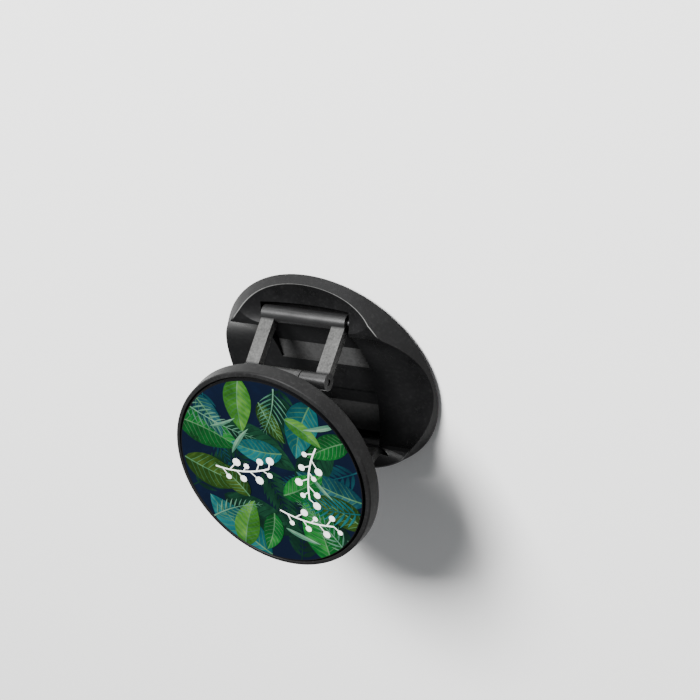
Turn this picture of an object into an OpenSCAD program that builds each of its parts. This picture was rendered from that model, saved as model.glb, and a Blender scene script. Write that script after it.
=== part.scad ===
// Folding phone grip: a low round base, a round cap on a folding hourglass
// linkage with six parallel hinges, and a printed disc in the cap.
// Millimetres. The underside of the adhesive pad lies in z = 0, the hinge
// axes run along X, and the upper hinge is on the +Y side of the base.

/* [Base] */
// Radius of the base at its lower edge
base_r = 23.3; // [22.8:0.1:24.5]
// Radius that the side wall would have at ridge height
base_r_top = 21.6; // [21.2:0.1:22.4]
// Height of the two ridges above the pad's underside
ridge_z = 5.45; // [5.2:0.05:5.6]
// Lowest point of the concave trough between the ridges
trough_z = 1.7; // [1.6:0.05:2]
// Radius of the trough's concave surface
trough_r = 25; // [24:0.5:30]
// Distance of the ridge's crest line from the middle
crest_y = 14.1; // [13.6:0.1:14.4]
// Height of the outer slope where it meets the side wall
outer_z = 3.3; // [3.1:0.05:3.4]
// Lowest point of the hollow in each outer slope
scoop_z = 2.6; // [2.55:0.05:2.8]
// Radius of the hollow seen from the side
scoop_r = 10; // [9:0.5:11]
// Radius of the hollow seen from outside, along the hinge direction
scoop_x = 71; // [66:1:76]
// Radius of the adhesive pad
pad_r = 22.4; // [21:0.1:22.6]
// Thickness of the adhesive pad
pad_t = 0.9; // [0.6:0.1:1]

/* [Hinge pockets] */
// Half width of the pocket for the barrel and the folded link
pocket_x = 9.94; // [9.8:0.01:10.2]
// Outer end of the pocket
pocket_y = 17.6; // [17.2:0.1:17.8]
// Height of the flat floor of the pocket and its channel
pocket_z = 1.4; // [1.3:0.05:1.5]
// Distance from the middle to the channel's inner end
channel_y = 3.0; // [2.5:0.1:4]
// Distance from the middle to the foot of the channel's ramp
ramp_y = 7.0; // [6.5:0.1:7.5]
// Height of the ramp where it ends at the pocket
ramp_z = 2.6; // [2.3:0.05:2.6]

/* [Linkage] */
// Distance of the base hinge axes from the middle
hinge_y = 15.1; // [15:0.05:15.2]
// Height of the base hinge axes
hinge_z = 3.7; // [3.65:0.05:3.8]
// Length of a base link between its two axes
link_a = 12.5; // [12.45:0.01:12.55]
// Length of a cap link between its two axes
link_b = 7.3; // [7.28:0.01:7.4]
// Lean of the upper base link towards the middle, as it stands
lean_a = 28.5; // [28:0.1:29]
// Lean of the upper cap link towards the middle, as it stands
lean_b = 32; // [31.5:0.1:32.5]
// Tilt of the cap about the hinge direction, as it stands
cap_tilt = -7.5; // [-7.7:0.1:-7.3]
// Radius of the hinge barrels and knuckles
barrel_r = 1.65; // [1.5:0.05:1.65]
// Half width of a base link
link_x = 9.4; // [9:0.05:9.6]
// Half width of the window in a base link
window_x = 6.5; // [6.4:0.05:6.8]
// Thickness of the links' arms
arm_t = 1.7; // [1.4:0.1:1.8]
// Half width of a cap link's middle knuckle
tongue_x = 3.5; // [3:0.05:3.5]
// Half width of a cap link's barrel
tail_x = 4.2; // [4:0.05:4.25]
// Radius of the hinge pins
pin_r = 0.6; // [0.5:0.05:0.7]
// Radial running clearance of the hinges
run_c = 0.05; // [0.03:0.01:0.1]
// Radial play in the lower cap hinge, which takes up the linkage's slack
slack_c = 0.55; // [0.5:0.05:0.6]

/* [Cap] */
// Radius of the cap's rim near its front edge
cap_r = 21.45; // [21.3:0.05:21.8]
// Radius of the rim at its back edge
cap_r_back = 21.6; // [21.3:0.05:21.7]
// Distance of the rim's back edge behind the cap's reference plane
cap_t = 4.3; // [4.1:0.05:4.35]
// Radius of the opening in the rim's front, where the print is seen
face_r = 20.5; // [20.3:0.05:20.6]
// Distance of the rim's front face behind the cap's reference plane
rim_z = 0.7; // [0.6:0.05:0.8]
// Distance of the cap's hinge axes from its middle
cap_hinge_y = 10.0; // [9.98:0.01:10.02]
// Distance of the cap's hinge axes behind the cap's reference plane
cap_hinge_z = 5.8; // [5.78:0.01:5.82]
// Radius of the printed disc, which leaves a narrow groove round it
print_r = 20.05; // [19.9:0.05:20.2]
// Thickness of the printed disc
print_t = 0.8; // [0.7:0.1:1]
// Distance of the print's face behind the cap's reference plane
print_sink = 0.4; // [0.3:0.05:0.5]

/* [Hidden] */
$fn = 96;

// distance of the hollows' lowest line from the middle
scoop_y = 20;

// upper side: base hinge B, knee K, cap hinge C, as [y, z]
B = [hinge_y, hinge_z];
K = B + link_a * [-sin(lean_a), cos(lean_a)];
C = K + link_b * [-sin(lean_b), cos(lean_b)];
// the cap's own directions in the y-z plane, and the middle of its front
cap_ey = [cos(cap_tilt), sin(cap_tilt)];
cap_ez = [-sin(cap_tilt), cos(cap_tilt)];
cap_o = C - cap_hinge_y * cap_ey + cap_hinge_z * cap_ez;
// lower side: the cap hinge is where the cap has it, and the knee is where
// the two lower links meet on the inner side
C2 = cap_o - cap_hinge_y * cap_ey - cap_hinge_z * cap_ez;
B2 = [-hinge_y, hinge_z];
reach = norm(C2 - B2);
reach_lean = atan2(C2[0] - B2[0], C2[1] - B2[1]);
lean_c = reach_lean + acos((pow(link_a, 2) + pow(reach, 2) - pow(link_b, 2)) / (2 * link_a * reach));
K2 = B2 + link_a * [sin(lean_c), cos(lean_c)];
lean_d = atan2(C2[0] - K2[0], C2[1] - K2[1]);

// shaft or bore along X, from -l/2 to l/2
module xcyl(r, l) { rotate([0, 90, 0]) cylinder(r = r, h = l, center = true); }

// piece along X between x0 and x1 on both sides
module xpair(r, x0, x1) {
  for (s = [-1, 1]) translate([s * (x0 + x1) / 2, 0, 0]) xcyl(r, x1 - x0);
}

// a point list for the outer wall and the four faces seen from the side
module side_profile() {
  polygon([[-base_r - 1, pad_t], [base_r + 1, pad_t], [base_r + 1, outer_z - 0.42],
           [22.4, outer_z], [crest_y + 0.35, ridge_z - 0.08], [crest_y, ridge_z],
           [-crest_y, ridge_z], [-crest_y - 0.35, ridge_z - 0.08], [-22.4, outer_z],
           [-base_r - 1, outer_z - 0.42]]);
}

module adhesive_pad() {
  color("#1c1c1e") cylinder(r = pad_r, h = pad_t, $fn = 180);
}

// low round body: conical side wall, trough along X, two ridges with scooped
// outer slopes, and a pocket with a channel on each side for the folded links
module base_body() {
  color("#2a2a2c") difference() {
    intersection() {
      translate([0, 0, pad_t])
        cylinder(r1 = base_r, r2 = base_r - (base_r - base_r_top) * 1.6, h = (ridge_z - pad_t) * 1.6, $fn = 240);
      rotate([90, 0, 90]) linear_extrude(height = 2 * base_r + 4, center = true) side_profile();
    }
    // trough
    translate([0, 0, trough_z + trough_r]) rotate([0, 90, 0])
      cylinder(r = trough_r, h = 2 * base_r + 6, center = true, $fn = 240);
    for (s = [0, 1]) mirror([0, s, 0]) {
      // pocket for the barrel
      translate([-pocket_x, hinge_y - 2.6, pocket_z])
        cube([2 * pocket_x, pocket_y - hinge_y + 2.6, 10]);
      // channel of the same width: a ramp down from the pocket, then a flat
      // floor that ends in the trough
      rotate([90, 0, 90]) linear_extrude(height = 2 * pocket_x, center = true)
        polygon([[hinge_y - 2.5, ramp_z], [ramp_y, pocket_z], [channel_y, pocket_z],
                 [channel_y, 12], [hinge_y - 2.5, 12]]);
      // hollow of the outer slope, shallow along X: the outside of a wide ring
      translate([0, scoop_y, scoop_z + scoop_x]) rotate([90, 0, 0])
        rotate_extrude($fn = 360) translate([scoop_x - scoop_r, 0]) circle(r = scoop_r, $fn = 180);
      // seats of the hinge pin in both side walls
      translate([0, hinge_y, hinge_z]) xcyl(pin_r, 24);
    }
  }
}

// open frame: full-width barrel at the base end, two arms, and two outer
// knuckles at the knee. Local frame: base axis at the origin, knee along +Y
module base_link_shape() {
  difference() {
    union() {
      xcyl(barrel_r, 2 * link_x);
      for (s = [-1, 1]) translate([s * (window_x + link_x) / 2, link_a / 2, 0])
        cube([link_x - window_x, link_a, arm_t], center = true);
      translate([0, link_a, 0]) xpair(barrel_r, tongue_x + 0.2, link_x);
    }
    xcyl(pin_r + run_c, 2 * link_x + 2);
    translate([0, link_a, 0]) xcyl(pin_r, 2 * link_x + 2);
  }
}

// short tongue: middle knuckle at the knee, wider barrel at the cap.
// Local frame: knee axis at the origin, cap axis along +Y
module cap_link_shape(play) {
  difference() {
    union() {
      xcyl(barrel_r, 2 * tongue_x);
      translate([0, link_b / 2, 0]) cube([2 * tongue_x, link_b, arm_t], center = true);
      translate([0, link_b, 0]) xcyl(barrel_r, 2 * tail_x);
    }
    xcyl(pin_r + run_c, 2 * tongue_x + 2);
    translate([0, link_b, 0]) xcyl(pin_r + play, 2 * tail_x + 2);
  }
}

// places a shape with its axis at point p and its length leaning by lean from +Z
module at(p, lean) { translate([0, p[0], p[1]]) rotate([90 + lean, 0, 0]) children(); }
// the cap's own frame: middle of its reference plane at the origin, +Z outwards
module in_cap() { translate([0, cap_o[0], cap_o[1]]) rotate([cap_tilt, 0, 0]) children(); }

module upper_base_link() { color("#38383a") at(B, lean_a) base_link_shape(); }
module lower_base_link() { color("#38383a") at(B2, -lean_c) base_link_shape(); }
module upper_cap_link() { color("#333335") at(K, lean_b) cap_link_shape(run_c); }
module lower_cap_link() { color("#333335") at(K2, -lean_d) cap_link_shape(slack_c + run_c); }

module pin(p, l) { color("#3c3c3f") translate([0, p[0], p[1]]) xcyl(pin_r, l); }
module upper_base_pin() { pin(B, 24); }
module lower_base_pin() { pin(B2, 24); }
module upper_knee_pin() { pin(K, 2 * link_x - 0.6); }
module lower_knee_pin() { pin(K2, 2 * link_x - 0.6); }
module upper_cap_pin() { pin(C, 12.2); }
module lower_cap_pin() { pin(C2, 12.2); }

back_z = -3.1;   // back face of the hinge plate
web_z = -2.1;    // front face of the hinge plate
lug_in = 4.4;
lug_out = 6.1;

// plate behind the print, with two pairs of hinge lugs
module cap_back() {
  color("#2a2a2c") in_cap() difference() {
    union() {
      translate([0, 0, back_z]) cylinder(r = 19.6, h = web_z - back_z, $fn = 180);
      for (s = [-1, 1]) translate([0, s * cap_hinge_y, 0]) {
        translate([0, 0, -cap_hinge_z]) xpair(1.5, lug_in, lug_out);
        for (t = [-1, 1]) translate([t * (lug_in + lug_out) / 2, 0, (back_z - cap_hinge_z) / 2 + 0.1])
          cube([lug_out - lug_in, 3, cap_hinge_z + back_z + 0.2], center = true);
      }
    }
    for (s = [-1, 1]) translate([0, s * cap_hinge_y, -cap_hinge_z]) xcyl(pin_r, 2 * lug_out + 2);
  }
}

// outer ring of the cap with a seat for the print and a step for the plate
module cap_rim() {
  color("#303032") in_cap() rotate_extrude($fn = 240)
    polygon([[19.6, -cap_t], [cap_r_back - 0.3, -cap_t], [cap_r_back, -cap_t + 0.35],
             [cap_r, -rim_z - 0.5], [cap_r - 0.08, -rim_z - 0.28], [cap_r - 0.25, -rim_z - 0.14],
             [face_r + 0.1, -rim_z], [face_r, -rim_z - 0.1], [face_r, -print_sink - print_t],
             [18.2, -print_sink - print_t], [18.2, web_z], [19.6, web_z]]);
}

module print_disc() {
  color("#0d2430") in_cap() translate([0, 0, -print_sink - print_t])
    cylinder(r = print_r, h = print_t, $fn = 240);
}

adhesive_pad();
base_body();
upper_base_pin();
lower_base_pin();
upper_base_link();
lower_base_link();
upper_knee_pin();
lower_knee_pin();
upper_cap_link();
lower_cap_link();
upper_cap_pin();
lower_cap_pin();
cap_back();
cap_rim();
print_disc();
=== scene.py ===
import bpy
import math
import random
from mathutils import Vector, Matrix


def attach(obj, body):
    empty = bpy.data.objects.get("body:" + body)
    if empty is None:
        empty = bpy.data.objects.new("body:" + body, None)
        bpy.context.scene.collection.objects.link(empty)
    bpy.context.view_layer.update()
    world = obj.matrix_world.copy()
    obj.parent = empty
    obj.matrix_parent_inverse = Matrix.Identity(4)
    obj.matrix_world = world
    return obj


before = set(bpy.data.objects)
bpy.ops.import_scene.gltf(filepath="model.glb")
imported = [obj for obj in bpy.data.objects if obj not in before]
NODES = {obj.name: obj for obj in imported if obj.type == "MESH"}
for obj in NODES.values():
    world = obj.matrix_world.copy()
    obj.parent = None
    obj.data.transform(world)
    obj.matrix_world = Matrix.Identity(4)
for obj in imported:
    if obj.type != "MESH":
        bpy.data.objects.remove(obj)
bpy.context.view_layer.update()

random.seed(7)
MM = 0.001


# ---------------------------------------------------------------- camera
cam_data = bpy.data.cameras.new("photo_camera")
cam = bpy.data.objects.new("photo_camera", cam_data)
bpy.context.scene.collection.objects.link(cam)
right = Vector((0.85660898, -0.22429707, -0.46466319))
up = Vector((-0.11528118, 0.79460341, -0.59608361))
back = Vector((0.50292276, 0.56417749, 0.65480719))
m = Matrix.Identity(4)
for i in range(3):
    m[i][0], m[i][1], m[i][2] = right[i], up[i], back[i]
m[0][3], m[1][3], m[2][3] = 0.29203214, 0.32711775, 0.37356809
cam.matrix_world = m
cam_data.sensor_width = 36.0
cam_data.lens = 36.0 * 2945.1858 / 700.0
cam_data.clip_start = 0.01
cam_data.clip_end = 10.0
bpy.context.scene.camera = cam


# ---------------------------------------------------------------- materials
def new_mat(name):
    mat = bpy.data.materials.new(name)
    mat.use_nodes = True
    nt = mat.node_tree
    nt.nodes.clear()
    out = nt.nodes.new("ShaderNodeOutputMaterial")
    bsdf = nt.nodes.new("ShaderNodeBsdfPrincipled")
    nt.links.new(bsdf.outputs["BSDF"], out.inputs["Surface"])
    return mat, nt, bsdf


def set_ramp(ramp, stops):
    el = ramp.color_ramp.elements
    while len(el) > 1:
        el.remove(el[-1])
    el[0].position = stops[0][0]
    el[0].color = (*stops[0][1], 1)
    for pos, col in stops[1:]:
        e = el.new(pos)
        e.color = (*col, 1)


def axis_mask(nt, tc, y, z, r0, r1):
    """0 within r0 of the line through (y, z) along X, 1 beyond r1 (in metres)."""
    N, L = nt.nodes.new, nt.links.new
    off = N("ShaderNodeVectorMath")
    off.operation = "SUBTRACT"
    off.inputs[1].default_value = (0, y, z)
    L(tc.outputs["Object"], off.inputs[0])
    cross = N("ShaderNodeVectorMath")
    cross.operation = "CROSS_PRODUCT"
    cross.inputs[1].default_value = (1, 0, 0)
    L(off.outputs["Vector"], cross.inputs[0])
    ln = N("ShaderNodeVectorMath")
    ln.operation = "LENGTH"
    L(cross.outputs["Vector"], ln.inputs[0])
    mr = N("ShaderNodeMapRange")
    mr.inputs["From Min"].default_value = r0
    mr.inputs["From Max"].default_value = r1
    L(ln.outputs["Value"], mr.inputs["Value"])
    return mr.outputs["Result"]


def wall_masks(nt, tc):
    """Two masks of the base: its side wall, and the upper edge of that wall
    along the two outer slopes, where a painted highlight line goes."""
    N, L = nt.nodes.new, nt.links.new
    sep = N("ShaderNodeSeparateXYZ")
    L(tc.outputs["Object"], sep.inputs["Vector"])

    def math_node(op, a, b):
        mn = N("ShaderNodeMath")
        mn.operation = op
        for k, v in enumerate((a, b)):
            if isinstance(v, float):
                mn.inputs[k].default_value = v
            elif v is not None:
                L(v, mn.inputs[k])
        return mn.outputs["Value"]

    def step(value, lo, hi, a, b):
        mr = N("ShaderNodeMapRange")
        mr.inputs["From Min"].default_value = lo
        mr.inputs["From Max"].default_value = hi
        mr.inputs["To Min"].default_value = a
        mr.inputs["To Max"].default_value = b
        L(value, mr.inputs["Value"])
        return mr.outputs["Result"]

    x2 = math_node("MULTIPLY", sep.outputs["X"], sep.outputs["X"])
    y2 = math_node("MULTIPLY", sep.outputs["Y"], sep.outputs["Y"])
    rho = math_node("POWER", math_node("ADD", x2, y2), 0.5)
    cone = math_node("ADD", rho, math_node("MULTIPLY", math_node("SUBTRACT", sep.outputs["Z"], 0.0009), 0.3736))
    side = step(cone, 0.02322, 0.02328, 0, 1)
    # painted highlight: a thin band just inside the side wall's upper edge, standing in for the bright crease line
    line = math_node("MULTIPLY", step(cone, 0.02300, 0.02310, 0, 1), step(cone, 0.02322, 0.02327, 1, 0))
    ay = math_node("ABSOLUTE", sep.outputs["Y"], None)
    line = math_node("MULTIPLY", line, step(ay, 0.0136, 0.0146, 0, 1))
    return side, line


def painted_light_channel_mask(nt, tc):
    """1 on the floor of the upper channel and the ramp of the lower one, where the base gets painted light: a lighter
    colour standing in for light falling there.
    """
    N, L = nt.nodes.new, nt.links.new
    sep = N("ShaderNodeSeparateXYZ")
    L(tc.outputs["Object"], sep.inputs["Vector"])

    def step(value, lo, hi, a, b):
        mr = N("ShaderNodeMapRange")
        mr.inputs["From Min"].default_value = lo
        mr.inputs["From Max"].default_value = hi
        mr.inputs["To Min"].default_value = a
        mr.inputs["To Max"].default_value = b
        L(value, mr.inputs["Value"])
        return mr.outputs["Result"]

    def absolute(value):
        ab = N("ShaderNodeMath")
        ab.operation = "ABSOLUTE"
        L(value, ab.inputs[0])
        return ab.outputs["Value"]

    def times(a, b):
        mu = N("ShaderNodeMath")
        mu.operation = "MULTIPLY"
        L(a, mu.inputs[0])
        L(b, mu.inputs[1])
        return mu.outputs["Value"]

    y = sep.outputs["Y"]
    upper = times(step(y, 0.00296, 0.00302, 0, 1), step(y, 0.00702, 0.00708, 1, 0))
    lower = times(step(y, -0.0127, -0.0126, 0, 1), step(y, -0.0066, -0.0064, 1, 0))
    both = N("ShaderNodeMath")
    both.operation = "ADD"
    L(upper, both.inputs[0])
    L(lower, both.inputs[1])
    inside = times(step(absolute(sep.outputs["X"]), 0.00990, 0.00993, 1, 0), both.outputs["Value"])
    return times(inside, step(sep.outputs["Z"], 0.00262, 0.0027, 1, 0))


def plastic(name, base, rough, grain=1.0, wear=0.0, wear_scale=420.0, wear_col=(0.16, 0.16, 0.16),
            spec=0.5, axis=None, axis2=None, axis_col=None, painted_light_col=None, painted_highlight_col=None,
            edges=(0.52, 0.7)):
    """Moulded plastic: spark-erosion grain, slight mottling, rubbed patches; on the base also painted light patches
    in the channels and a painted highlight line on the side wall's upper edge.
    """
    mat, nt, bsdf = new_mat(name)
    N, L = nt.nodes.new, nt.links.new
    bsdf.inputs["Specular IOR Level"].default_value = spec
    tc = N("ShaderNodeTexCoord")
    mott = N("ShaderNodeTexNoise")
    mott.inputs["Scale"].default_value = 190.0
    mott.inputs["Detail"].default_value = 5.0
    L(tc.outputs["Object"], mott.inputs["Vector"])
    ramp = N("ShaderNodeValToRGB")
    set_ramp(ramp, [(0.3, [c * 0.78 for c in base]), (0.72, [c * 1.22 for c in base])])
    L(mott.outputs["Fac"], ramp.inputs["Fac"])
    colour = ramp.outputs["Color"]
    rub = N("ShaderNodeTexNoise")
    rub.inputs["Scale"].default_value = wear_scale
    rub.inputs["Detail"].default_value = 6.0
    rub.inputs["Roughness"].default_value = 0.65
    L(tc.outputs["Object"], rub.inputs["Vector"])
    rub_f = N("ShaderNodeMapRange")
    rub_f.inputs["From Min"].default_value = edges[0]
    rub_f.inputs["From Max"].default_value = edges[1]
    rub_f.inputs["To Min"].default_value = 0.0
    rub_f.inputs["To Max"].default_value = wear
    L(rub.outputs["Fac"], rub_f.inputs["Value"])
    mix = N("ShaderNodeMix")
    mix.data_type = "RGBA"
    L(rub_f.outputs["Result"], mix.inputs["Factor"])
    L(colour, mix.inputs["A"])
    mix.inputs["B"].default_value = (*wear_col, 1)
    colour = mix.outputs["Result"]

    def blend(mask, a, col):
        """a where the mask is 1, a mottled shade of col where it is 0."""
        shade = N("ShaderNodeValToRGB")
        set_ramp(shade, [(0.3, [c * 0.75 for c in col]), (0.72, [c * 1.25 for c in col])])
        L(rub.outputs["Fac"], shade.inputs["Fac"])
        mx = N("ShaderNodeMix")
        mx.data_type = "RGBA"
        L(mask, mx.inputs["Factor"])
        L(shade.outputs["Color"], mx.inputs["A"])
        L(a, mx.inputs["B"])
        return mx.outputs["Result"]

    # within about 1.7 mm of either hinge axis, on the barrels, the colour is a darker shade without the rubbed
    # patches
    if axis:
        both = N("ShaderNodeMath")
        both.operation = "MULTIPLY"
        L(axis_mask(nt, tc, axis[0] * MM, axis[1] * MM, 0.00172, 0.0021), both.inputs[0])
        L(axis_mask(nt, tc, axis2[0] * MM, axis2[1] * MM, 0.00172, 0.0020), both.inputs[1])
        colour = blend(both.outputs["Value"], colour, axis_col)
    # painted light: a lighter colour on the upper channel's floor and the lower channel's ramp, standing in for light
    # falling there
    if painted_light_col:
        inv = N("ShaderNodeMath")
        inv.operation = "SUBTRACT"
        inv.inputs[0].default_value = 1.0
        L(painted_light_channel_mask(nt, tc), inv.inputs[1])
        colour = blend(inv.outputs["Value"], colour, painted_light_col)
    side = None
    # painted highlight: a lighter colour along the upper edge of the side wall
    if painted_highlight_col:
        side, line = wall_masks(nt, tc)
        inv = N("ShaderNodeMath")
        inv.operation = "SUBTRACT"
        inv.inputs[0].default_value = 1.0
        L(line, inv.inputs[1])
        colour = blend(inv.outputs["Value"], colour, painted_highlight_col)
    L(colour, bsdf.inputs["Base Color"])
    gr = N("ShaderNodeTexNoise")
    gr.inputs["Scale"].default_value = 4200.0
    gr.inputs["Detail"].default_value = 2.0
    L(tc.outputs["Object"], gr.inputs["Vector"])
    rr = N("ShaderNodeMapRange")
    rr.inputs["From Min"].default_value = 0.3
    rr.inputs["From Max"].default_value = 0.7
    rr.inputs["To Min"].default_value = rough - 0.06
    rr.inputs["To Max"].default_value = rough + 0.07
    L(mott.outputs["Fac"], rr.inputs["Value"])
    rough_out = rr.outputs["Result"]
    if side is not None:
        more = N("ShaderNodeMath")
        more.operation = "MULTIPLY_ADD"
        L(side, more.inputs[0])
        more.inputs[1].default_value = 0.28
        L(rough_out, more.inputs[2])
        rough_out = more.outputs["Value"]
    L(rough_out, bsdf.inputs["Roughness"])
    bump = N("ShaderNodeBump")
    bump.inputs["Strength"].default_value = 0.22 * grain
    bump.inputs["Distance"].default_value = 0.00004
    L(gr.outputs["Fac"], bump.inputs["Height"])
    L(bump.outputs["Normal"], bsdf.inputs["Normal"])
    return mat


def ink(name, dark, mid, light, rough=0.38):
    """Printed ink: tone runs along each leaf, with a soft watercolour grain."""
    mat, nt, bsdf = new_mat(name)
    N, L = nt.nodes.new, nt.links.new
    tone = N("ShaderNodeAttribute")
    tone.attribute_name = "tone"
    tc = N("ShaderNodeTexCoord")
    wash = N("ShaderNodeTexNoise")
    wash.inputs["Scale"].default_value = 420.0
    wash.inputs["Detail"].default_value = 5.0
    L(tc.outputs["Object"], wash.inputs["Vector"])
    spread = N("ShaderNodeMapRange")
    spread.inputs["From Min"].default_value = 0.25
    spread.inputs["From Max"].default_value = 0.75
    spread.inputs["To Min"].default_value = -0.2
    spread.inputs["To Max"].default_value = 0.2
    L(wash.outputs["Fac"], spread.inputs["Value"])
    add = N("ShaderNodeMath")
    add.operation = "ADD"
    L(tone.outputs["Fac"], add.inputs[0])
    L(spread.outputs["Result"], add.inputs[1])
    ramp = N("ShaderNodeValToRGB")
    set_ramp(ramp, [(0.0, dark), (0.5, mid), (1.0, light)])
    L(add.outputs["Value"], ramp.inputs["Fac"])
    L(ramp.outputs["Color"], bsdf.inputs["Base Color"])
    bsdf.inputs["Specular IOR Level"].default_value = 0.14
    rr = N("ShaderNodeMapRange")
    rr.inputs["To Min"].default_value = rough - 0.05
    rr.inputs["To Max"].default_value = rough + 0.05
    L(wash.outputs["Fac"], rr.inputs["Value"])
    L(rr.outputs["Result"], bsdf.inputs["Roughness"])
    bump = N("ShaderNodeBump")
    bump.inputs["Strength"].default_value = 0.08
    bump.inputs["Distance"].default_value = 0.00003
    L(wash.outputs["Fac"], bump.inputs["Height"])
    L(bump.outputs["Normal"], bsdf.inputs["Normal"])
    return mat


def ink_with_painted_groove_shade(name, dark, mid, light):
    """The print's ground, with a narrow black ring at the disc's edge: painted shade for the groove between the print
    and the rim.
    """
    mat = ink(name, dark, mid, light)
    nt = mat.node_tree
    N, L = nt.nodes.new, nt.links.new
    bsdf = next(n for n in nt.nodes if n.type == "BSDF_PRINCIPLED")
    ramp = next(n for n in nt.nodes if n.type == "VALTORGB")
    tc = next(n for n in nt.nodes if n.type == "TEX_COORD")
    off = N("ShaderNodeVectorMath")
    off.operation = "SUBTRACT"
    off.inputs[1].default_value = tuple(O * MM)
    L(tc.outputs["Object"], off.inputs[0])
    cross = N("ShaderNodeVectorMath")
    cross.operation = "CROSS_PRODUCT"
    cross.inputs[1].default_value = tuple(EZ)
    L(off.outputs["Vector"], cross.inputs[0])
    ln = N("ShaderNodeVectorMath")
    ln.operation = "LENGTH"
    L(cross.outputs["Vector"], ln.inputs[0])
    # painted shade: black from about 19.9 mm outwards, where the groove round the print lies
    edge = N("ShaderNodeMapRange")
    edge.inputs["From Min"].default_value = 0.01985
    edge.inputs["From Max"].default_value = 0.0199
    L(ln.outputs["Value"], edge.inputs["Value"])
    mix = N("ShaderNodeMix")
    mix.data_type = "RGBA"
    L(edge.outputs["Result"], mix.inputs["Factor"])
    L(ramp.outputs["Color"], mix.inputs["A"])
    mix.inputs["B"].default_value = (0.004, 0.004, 0.0045, 1)
    L(mix.outputs["Result"], bsdf.inputs["Base Color"])
    return mat


# The cap's own frame at rest: O in the middle of its reference plane, EX along
# the hinges, EY towards the upper hinge, EZ outwards.
TILT = math.radians(-7.5)
O = Vector((0.0, -3.89029, 27.93161))
EX = Vector((1, 0, 0))
EY = Vector((0, math.cos(TILT), math.sin(TILT)))
EZ = Vector((0, -math.sin(TILT), math.cos(TILT)))

# the base gets painted light: lighter patches in its two channels, and a painted highlight line along the upper edge
# of its side wall
body_m = plastic("black_plastic_body", (0.0045, 0.0045, 0.0047), 0.30, grain=0.7, wear=0.025, wear_scale=1500.0, spec=0.15,
                 painted_light_col=(0.03, 0.03, 0.03), painted_highlight_col=(0.12, 0.12, 0.118))
worn = dict(grain=1.6, wear=0.7, wear_scale=2400.0, wear_col=(0.088, 0.088, 0.085), axis_col=(0.010, 0.010, 0.0102),
            edges=(0.36, 0.70), spec=0.4)
upper_m = plastic("worn_plastic_upper_link", (0.026, 0.026, 0.0255), 0.34, axis=(15.1, 3.7), axis2=(9.1355, 14.685), **worn)
lower_m = plastic("worn_plastic_lower_link", (0.026, 0.026, 0.0255), 0.34, axis=(-15.1, 3.7), axis2=(-14.5214, 16.1866), **worn)
knee_m = plastic("black_plastic_tongues", (0.014, 0.014, 0.014), 0.36, wear=0.3, wear_scale=600.0, spec=0.35)
rim_m = plastic("black_plastic_rim", (0.010, 0.010, 0.0101), 0.36, wear=0.04, wear_scale=1500.0, spec=0.03)
back_m = plastic("black_plastic_cap_back", (0.008, 0.008, 0.0082), 0.5, wear=0.1, spec=0.2)
pad_m = plastic("foam_pad", (0.012, 0.012, 0.013), 0.85, 2.5)
pin_m = plastic("blackened_pin", (0.02, 0.02, 0.021), 0.42, wear=0.15)
# the print's ground, with painted shade for the groove at its edge
disc_m = ink_with_painted_groove_shade("ink_night", (0.001, 0.003, 0.010), (0.0015, 0.005, 0.019), (0.002, 0.014, 0.026))

table = {"adhesive_pad": pad_m, "base_body": body_m, "cap_back": back_m, "cap_rim": rim_m,
         "print_disc": disc_m, "upper_cap_link": knee_m, "lower_cap_link": knee_m,
         "upper_base_link": upper_m, "lower_base_link": lower_m}
for n, o in NODES.items():
    mat = table.get(n)
    if mat is None:
        mat = pin_m
    o.data.materials.clear()
    o.data.materials.append(mat)

# softened moulded edges
for n, w in (("base_body", 0.0003), ("upper_base_link", 0.00016), ("lower_base_link", 0.00016),
             ("upper_cap_link", 0.00014), ("lower_cap_link", 0.00014)):
    o = NODES[n]
    b = o.modifiers.new("soft_edges", "BEVEL")
    b.width = w
    b.segments = 2
    b.limit_method = "ANGLE"
    b.angle_limit = math.radians(38)
    b.harden_normals = False
    wn = o.modifiers.new("even_normals", "WEIGHTED_NORMAL")
    wn.weight = 100
    wn.keep_sharp = True

# ---------------------------------------------------------------- the print
FACE = -0.4          # height of the print's face over the reference plane
CLIP_R = 19.88       # the print's picture ends here
SIDES = 120
HALF_PLANES = [(math.cos(2 * math.pi * k / SIDES), math.sin(2 * math.pi * k / SIDES)) for k in range(SIDES)]
layers = {}


def clip(poly):
    """Convex polygon [(x, y, tone)] cut off at the edge of the print."""
    r = max(math.hypot(p[0], p[1]) for p in poly)
    if r <= CLIP_R:
        return poly
    if min(math.hypot(p[0], p[1]) for p in poly) > CLIP_R + 3:
        return []
    cx = sum(p[0] for p in poly) / len(poly)
    cy = sum(p[1] for p in poly) / len(poly)
    k0 = int(round(math.atan2(cy, cx) / (2 * math.pi) * SIDES))
    for k in range(k0 - 14, k0 + 15):
        a, b = HALF_PLANES[k % SIDES]
        out = []
        n = len(poly)
        for i in range(n):
            p, q = poly[i], poly[(i + 1) % n]
            dp, dq = a * p[0] + b * p[1] - CLIP_R, a * q[0] + b * q[1] - CLIP_R
            if dp <= 0:
                out.append(p)
            if (dp < 0 < dq) or (dq < 0 < dp):
                t = dp / (dp - dq)
                out.append(tuple(p[j] + t * (q[j] - p[j]) for j in range(3)))
        poly = out
        if len(poly) < 3:
            return []
    return poly


height = [0.0]


def put(kind, polys, run=0):
    """Adds polygons of one colour, one thin layer above all earlier ones.
    With a run, each group of that many polygons lies at a height of its own
    within the layer, so that overlapping ones never coincide."""
    height[0] += 0.0016
    bucket = layers.setdefault(kind, [])
    for i, poly in enumerate(polys):
        c = clip(poly)
        if len(c) >= 3:
            bucket.append((c, height[0] + (0.00022 * (i // run % 6) if run else 0.0)))


def spine(x, y, heading, length, bend, n):
    """Points and directions along a gently bent line."""
    pts = []
    a = math.radians(heading)
    step = length / n
    for i in range(n + 1):
        pts.append((x, y, a))
        a += math.radians(bend) / n
        x += step * math.cos(a)
        y += step * math.sin(a)
    return pts


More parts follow.
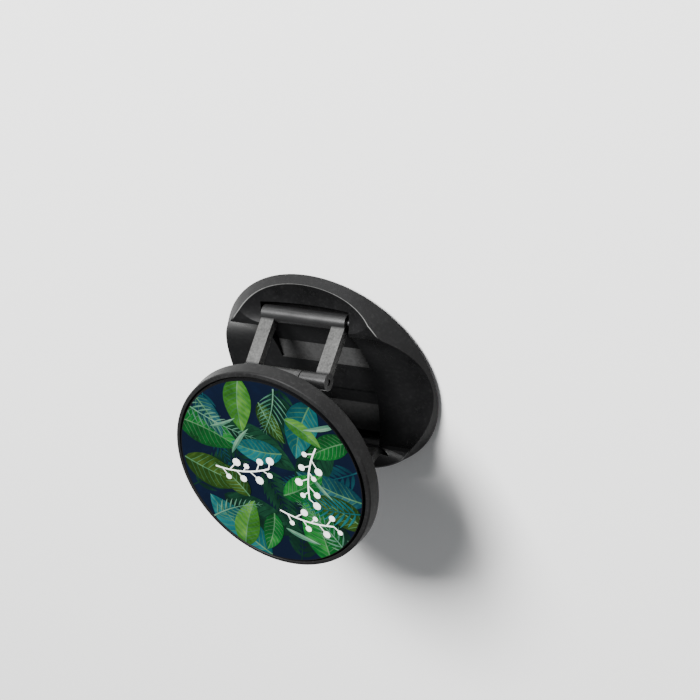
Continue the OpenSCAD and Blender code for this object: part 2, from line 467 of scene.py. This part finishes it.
def leaf(kind, x, y, heading, length, width, bend=0.0, veins=8, vein_kind="ink_vein", peak=0.42, shade=0.0, rib=0.3):
    n = max(10, int(length * 1.8))
    m2 = 4 if width > 2 else 2
    sp = spine(x, y, heading, length, bend, n)
    power = math.log(0.5) / math.log(peak)

    def half(t):
        return 0.5 * width * max(0.0, math.sin(math.pi * t ** power)) ** 0.82

    def at(i, v):
        lo = min(int(i), n - 1)
        f = i - lo
        px, py, a = [sp[lo][q] * (1 - f) + sp[lo + 1][q] * f for q in range(3)]
        w = half(i / n) * v
        return px - math.sin(a) * w, py + math.cos(a) * w

    def tone(i, v):
        t = i / n
        ripple = 0.10 * math.sin(2 * math.pi * (t * (veins + 1) - abs(v) * 1.1))
        return min(1.0, max(0.0, 0.34 + shade + 0.20 * t + (0.16 if v > 0 else -0.10) + 0.12 * (1 - abs(v)) + ripple))

    polys = []
    for i in range(n):
        for s in (-1, 1):
            for j in range(m2):
                v0, v1 = s * j / m2, s * (j + 1) / m2
                e = s * 1e-6
                q = [(*at(i, v0), tone(i, v0 + e)), (*at(i + 1, v0), tone(i + 1, v0 + e)),
                     (*at(i + 1, v1), tone(i + 1, v1)), (*at(i, v1), tone(i, v1))]
                if s < 0:
                    q.reverse()
                q.reverse()
                polys.append(q[::-1])
    put(kind, polys)
    if not veins:
        return
    strips, rib_strips = [], []

    def strip(pts, w0, w1, tn, strips=strips):
        for k in range(len(pts) - 1):
            (ax, ay), (bx, by) = pts[k], pts[k + 1]
            d = math.hypot(bx - ax, by - ay) or 1.0
            nx, ny = -(by - ay) / d, (bx - ax) / d
            wa = w0 + (w1 - w0) * k / (len(pts) - 1)
            wb = w0 + (w1 - w0) * (k + 1) / (len(pts) - 1)
            strips.append([(ax - nx * wa, ay - ny * wa, tn), (bx - nx * wb, by - ny * wb, tn),
                           (bx + nx * wb, by + ny * wb, tn), (ax + nx * wa, ay + ny * wa, tn)])

    strip([(p[0], p[1]) for p in sp], rib * 0.5, 0.05, 0.55, rib_strips)
    for k in range(veins):
        t0 = 0.1 + 0.75 * k / veins
        i0 = t0 * n
        for s in (-1, 1):
            pts = []
            for u in range(6):
                f = u / 5 * 0.9
                ii = min(n, i0 + f * n * 0.16 * (0.8 + 0.4 * f))
                pts.append(at(ii, s * f))
            clean = [pts[0]]
            for p in pts[1:]:
                if math.hypot(p[0] - clean[-1][0], p[1] - clean[-1][1]) > 0.12:
                    clean.append(p)
            if len(clean) > 1:
                strip(clean, 0.085, 0.035, 0.4 if s > 0 else 0.2)
    put(vein_kind, strips, 1)
    put(vein_kind, rib_strips, 1)


def fern(kind, x, y, heading, length, leaflet, bend=0.0, pairs=14, slim=0.17, stem_kind=None, spread=58, shade=0.0):
    n = pairs
    sp = spine(x, y, heading, length, bend, n)
    polys_n = []
    for i in range(1, n + 1):
        px, py, a = sp[i]
        t = i / n
        ln = leaflet * (1 - t) ** 0.7 * min(1.0, 0.55 + 2.2 * t) + 0.35
        for s in (-1, 1):
            h = math.degrees(a) + s * (spread - 18 * t)
            sub = spine(px, py, h, ln, -s * 16, 7)
            for k in range(7):
                w0 = 0.5 * ln * slim * math.sin(math.pi * (k / 7) ** 0.8)
                w1 = 0.5 * ln * slim * math.sin(math.pi * ((k + 1) / 7) ** 0.8)
                (ax, ay, aa), (bx, by, ba) = sub[k], sub[k + 1]
                tn = 0.35 + shade + 0.3 * k / 7 + (0.12 if s > 0 else 0)
                polys_n.append([(ax + math.sin(aa) * w0, ay - math.cos(aa) * w0, tn), (bx + math.sin(ba) * w1, by - math.cos(ba) * w1, tn),
                                (bx - math.sin(ba) * w1, by + math.cos(ba) * w1, tn), (ax - math.sin(aa) * w0, ay + math.cos(aa) * w0, tn)])
    put(kind, polys_n, 7)
    stem = []
    for k in range(n):
        (ax, ay, aa), (bx, by, ba) = sp[k], sp[k + 1]
        w0, w1 = 0.13 * (1 - k / n) + 0.03, 0.13 * (1 - (k + 1) / n) + 0.03
        stem.append([(ax + math.sin(aa) * w0, ay - math.cos(aa) * w0, 0.5), (bx + math.sin(ba) * w1, by - math.cos(ba) * w1, 0.5),
                     (bx - math.sin(ba) * w1, by + math.cos(ba) * w1, 0.5), (ax - math.sin(aa) * w0, ay + math.cos(aa) * w0, 0.5)])
    put(stem_kind or kind, stem, 1)


def buds(x, y, heading, length, bend, count, size):
    """A sprig with round white buds on short stalks."""
    sp = spine(x, y, heading, length, bend, count)
    stem, balls = [], []
    for k in range(count):
        (ax, ay, aa), (bx, by, ba) = sp[k], sp[k + 1]
        w = 0.16
        stem.append([(ax + math.sin(aa) * w, ay - math.cos(aa) * w, 0.6), (bx + math.sin(ba) * w, by - math.cos(ba) * w, 0.6),
                     (bx - math.sin(ba) * w, by + math.cos(ba) * w, 0.6), (ax - math.sin(aa) * w, ay + math.cos(aa) * w, 0.6)])
        s = 1 if k % 2 else -1
        h = ba + s * math.radians(50)
        ln = 1.6 + 0.5 * math.sin(k * 1.7)
        cx, cy = bx + ln * math.cos(h), by + ln * math.sin(h)
        w = 0.11
        stem.append([(bx + math.sin(h) * w, by - math.cos(h) * w, 0.6), (cx + math.sin(h) * w, cy - math.cos(h) * w, 0.6),
                     (cx - math.sin(h) * w, cy + math.cos(h) * w, 0.6), (bx - math.sin(h) * w, by + math.cos(h) * w, 0.6)])
        r = size * (0.8 + 0.35 * ((k * 5) % 3) / 2)
        cxx, cyy = cx + r * 0.8 * math.cos(h), cy + r * 0.8 * math.sin(h)
        ring = [(cxx + r * math.cos(q * math.pi / 10), cyy + r * math.sin(q * math.pi / 10)) for q in range(20)]
        for q in range(20):
            a0, a1 = ring[q], ring[(q + 1) % 20]
            balls.append([(cxx, cyy, 1.0), (*a0, 0.55), (*a1, 0.55)])
    put("ink_white", stem, 1)
    put("ink_white", balls, 20)


# lowest layer: dark ferns and dark broad leaves
fern("ink_deep", -19, -6, 28, 25, 6.2, bend=22, pairs=17, slim=0.22)
fern("ink_deep", 6, 20, 262, 22, 6.0, bend=-30, pairs=16, slim=0.22)
fern("ink_sea", 20, 3, 208, 20, 5.6, bend=-26, pairs=15, slim=0.19, shade=-0.2)
fern("ink_deep", 3, -20, 72, 18, 6.0, bend=28, pairs=14, slim=0.23)
fern("ink_sea", -12, 17, 262, 18, 5.2, bend=34, pairs=14, slim=0.18, shade=-0.25)
leaf("ink_deep", -9, 9, -18, 17, 7.5, bend=-20, veins=9, vein_kind="ink_deep", shade=0.1)
leaf("ink_deep", 15, 8, 222, 16, 7.0, bend=22, veins=8, vein_kind="ink_deep", shade=0.12)
leaf("ink_deep", -12, -7, -32, 18, 7.5, bend=24, veins=9, vein_kind="ink_deep", shade=0.05)
leaf("ink_deep", 16, -15, 150, 14, 6.5, bend=-24, veins=8, vein_kind="ink_deep", shade=0.05)
fern("ink_deep", -2, 1, 300, 16, 5.5, bend=-24, pairs=13, slim=0.22, shade=0.12)
# broad leaves
leaf("ink_teal", -3.5, -19.5, 148, 17, 8.6, bend=-26, veins=9)
leaf("ink_sea", 20, -4, 172, 15, 6.4, bend=-22, veins=8)
leaf("ink_emerald", -20, 9.5, -8, 15, 8.2, bend=-24, veins=9, shade=-0.08)
leaf("ink_olive", -19.5, 0.5, -28, 14, 7.2, bend=18, veins=8)
leaf("ink_teal", 12.5, 17, 232, 14.5, 7.0, bend=26, veins=8, shade=-0.08)
leaf("ink_emerald", 10, -19.5, 92, 15.5, 8.4, bend=20, veins=9, shade=0.02)
leaf("ink_olive", 19.5, -10, 142, 12.5, 6.4, bend=20, veins=7, shade=-0.08)
leaf("ink_lime", -3, 20.5, 250, 12.5, 6.2, bend=24, veins=8, shade=-0.06)
leaf("ink_emerald", 19.5, 9.5, 196, 11.5, 5.4, bend=18, veins=8, shade=-0.12)
leaf("ink_lime", -9.5, -18.5, 78, 12, 5.6, bend=-18, veins=8, shade=-0.02)
leaf("ink_teal", 3.5, 4.5, 190, 11.5, 5.4, bend=-30, veins=7, shade=-0.02)
leaf("ink_emerald", 2.0, -5.0, 20, 11.5, 5.6, bend=22, veins=7, shade=0.04)
leaf("ink_lime", 5.5, 12.5, -24, 9.0, 3.4, bend=-24, veins=6, shade=0.04)
leaf("ink_olive", -6.0, -6.5, 122, 9.5, 4.8, bend=24, veins=7)
leaf("ink_sea", -14.5, 15.5, -50, 10.5, 4.6, bend=-22, veins=7, shade=-0.08)
leaf("ink_emerald", -1.0, -9.5, 262, 9.5, 4.4, bend=-24, veins=7, shade=-0.08)
leaf("ink_olive", 0.5, 15.5, 285, 9.5, 4.2, bend=20, veins=7, shade=-0.1)
# pale ferns and blades over them
fern("ink_mint", -17.5, 13.5, -36, 17, 4.0, bend=26, pairs=13, slim=0.10, shade=-0.2)
fern("ink_mint", 14.5, -17, 118, 15, 4.2, bend=24, pairs=12, slim=0.10, shade=-0.2)
fern("ink_mint", -15.5, -12.5, 34, 13, 3.4, bend=-24, pairs=11, slim=0.11, shade=-0.2)
leaf("ink_mint", 1.0, -12.5, -28, 8.0, 1.1, bend=16, veins=0, shade=-0.05)
leaf("ink_mint", 17.5, 13.0, 205, 8.5, 1.2, bend=-18, veins=0, shade=-0.05)
leaf("ink_mint", -8.0, 3.0, 62, 8.0, 1.0, bend=-20, veins=0, shade=-0.1)
leaf("ink_mint", -12.0, 8.5, 12, 7.0, 0.8, bend=20, veins=0, shade=-0.15)
leaf("ink_mint", 9.0, 1.0, -62, 7.5, 0.9, bend=20, veins=0, shade=-0.1)
fern("ink_mint", 4.5, 19.0, 262, 11, 5.4, bend=-26, pairs=10, slim=0.07, shade=-0.3)
fern("ink_teal", 19.0, -6.5, 188, 13, 5.6, bend=-22, pairs=11, slim=0.11, shade=0.05)
# white sprigs
buds(-12.5, -0.5, -14, 12.5, 34, 8, 0.75)
buds(11.5, 7.0, 236, 12.5, 30, 8, 0.72)
buds(0.5, -8.5, -26, 12, 30, 7, 0.68)

INKS = {
    "ink_deep": ((0.0008, 0.0025, 0.0025), (0.0008, 0.0092, 0.005), (0.0034, 0.0269, 0.0118)),
    "ink_sea": ((0.0008, 0.0059, 0.0109), (0.0025, 0.0235, 0.0302), (0.0143, 0.063, 0.0756)),
    "ink_teal": ((0.0008, 0.0118, 0.0151), (0.0017, 0.0403, 0.0445), (0.0084, 0.0966, 0.1008)),
    "ink_emerald": ((0.0008, 0.0084, 0.0025), (0.0017, 0.0454, 0.0067), (0.0151, 0.126, 0.021)),
    "ink_lime": ((0.0025, 0.0218, 0.0017), (0.016, 0.0739, 0.0076), (0.0714, 0.168, 0.0277)),
    "ink_olive": ((0.0017, 0.0076, 0.0008), (0.0084, 0.0244, 0.0025), (0.0319, 0.0588, 0.0076)),
    "ink_mint": ((0.0101, 0.0462, 0.0302), (0.0487, 0.1176, 0.0756), (0.1512, 0.2436, 0.1596)),
    "ink_vein": ((0.0067, 0.0311, 0.0134), (0.0319, 0.0882, 0.0395), (0.1008, 0.1764, 0.084)),
    "ink_white": ((0.50, 0.54, 0.50), (0.72, 0.74, 0.70), (0.84, 0.85, 0.82)),
}
for kind, polys in layers.items():
    verts, faces, tones = [], [], []
    for poly, h in polys:
        area2 = sum(poly[i][0] * poly[(i + 1) % len(poly)][1] - poly[(i + 1) % len(poly)][0] * poly[i][1] for i in range(len(poly)))
        if abs(area2) < 1e-5:
            continue
        if area2 < 0:
            poly = poly[::-1]
        idx = []
        for x, y, tn in poly:
            p = (O + EX * x + EY * y + EZ * (FACE + h)) * MM
            idx.append(len(verts))
            verts.append(p)
            tones.append(tn)
        faces.append(idx)
    me = bpy.data.meshes.new(kind)
    me.from_pydata([tuple(v) for v in verts], [], faces)
    me.validate()
    at = me.attributes.new("tone", "FLOAT", "POINT")
    at.data.foreach_set("value", tones[:len(me.vertices)])
    ob = bpy.data.objects.new("print_" + kind, me)
    bpy.context.scene.collection.objects.link(ob)
    dark, mid, light = INKS[kind]
    me.materials.append(ink(kind, dark, mid, light))
    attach(ob, "cap")

# ---------------------------------------------------------------- stage
bpy.ops.mesh.primitive_plane_add(size=3.0, location=(0, 0, 0))
floor = bpy.context.object
floor.name = "floor"
fm, nt, bsdf = new_mat("floor_paint")
bsdf.inputs["Base Color"].default_value = (0.94, 0.94, 0.93, 1)
bsdf.inputs["Roughness"].default_value = 0.6
floor.data.materials.append(fm)

world = bpy.data.worlds.new("studio")
bpy.context.scene.world = world
world.use_nodes = True
world.node_tree.nodes["Background"].inputs[0].default_value = (0.95, 0.97, 1.0, 1)
world.node_tree.nodes["Background"].inputs[1].default_value = 0.26


def area(name, loc, size, power, target=(0, 0, 0.012), color=(1, 1, 1), size_y=None):
    d = bpy.data.lights.new(name, "AREA")
    d.energy = power
    d.color = color
    d.shape = "RECTANGLE"
    d.size = size
    d.size_y = size_y or size
    o = bpy.data.objects.new(name, d)
    bpy.context.scene.collection.objects.link(o)
    o.location = loc
    o.rotation_euler = (Vector(target) - Vector(loc)).to_track_quat("-Z", "Y").to_euler()
    return o


area("key", (-0.14, 0.74, 0.60), 0.36, 40.0)
